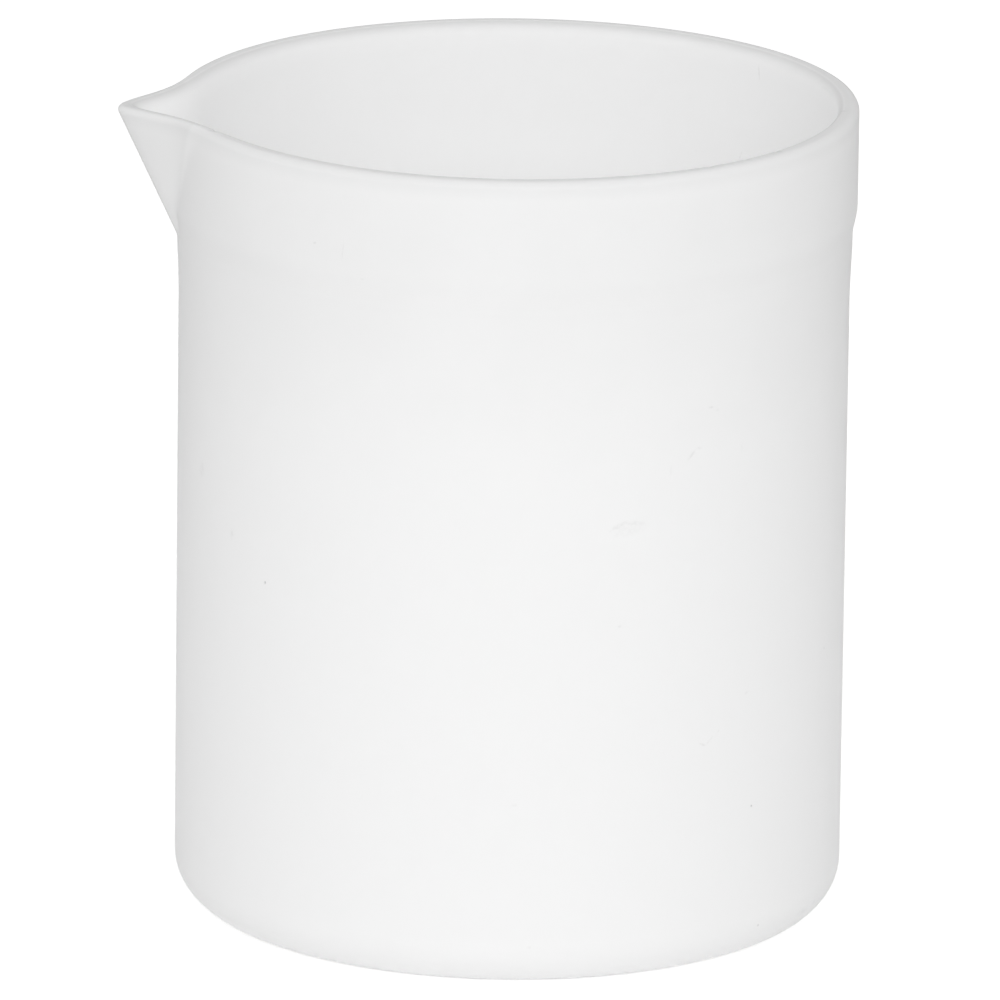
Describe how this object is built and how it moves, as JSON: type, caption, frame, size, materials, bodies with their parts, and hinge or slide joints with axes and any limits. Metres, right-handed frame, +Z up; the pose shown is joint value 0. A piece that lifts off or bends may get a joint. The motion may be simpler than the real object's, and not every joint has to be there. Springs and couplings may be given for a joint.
{
  "type": "beaker",
  "caption": "Straight-sided open plastic beaker with a thickened rim band and a pointed pouring spout, for holding, mixing and pouring liquids.",
  "frame": {"origin": "centre of the flat underside, on the beaker's axis", "axes": "+Z up along the axis towards the mouth; the pouring spout points along -X"},
  "size_m": [0.0994, 0.0918, 0.111],
  "materials": {
    "milky_plastic": "waxy satin, faintly translucent, with light scuffs"
  },
  "bodies": {
    "root": {"beaker": "milky_plastic"}
  },
  "joints": []
}
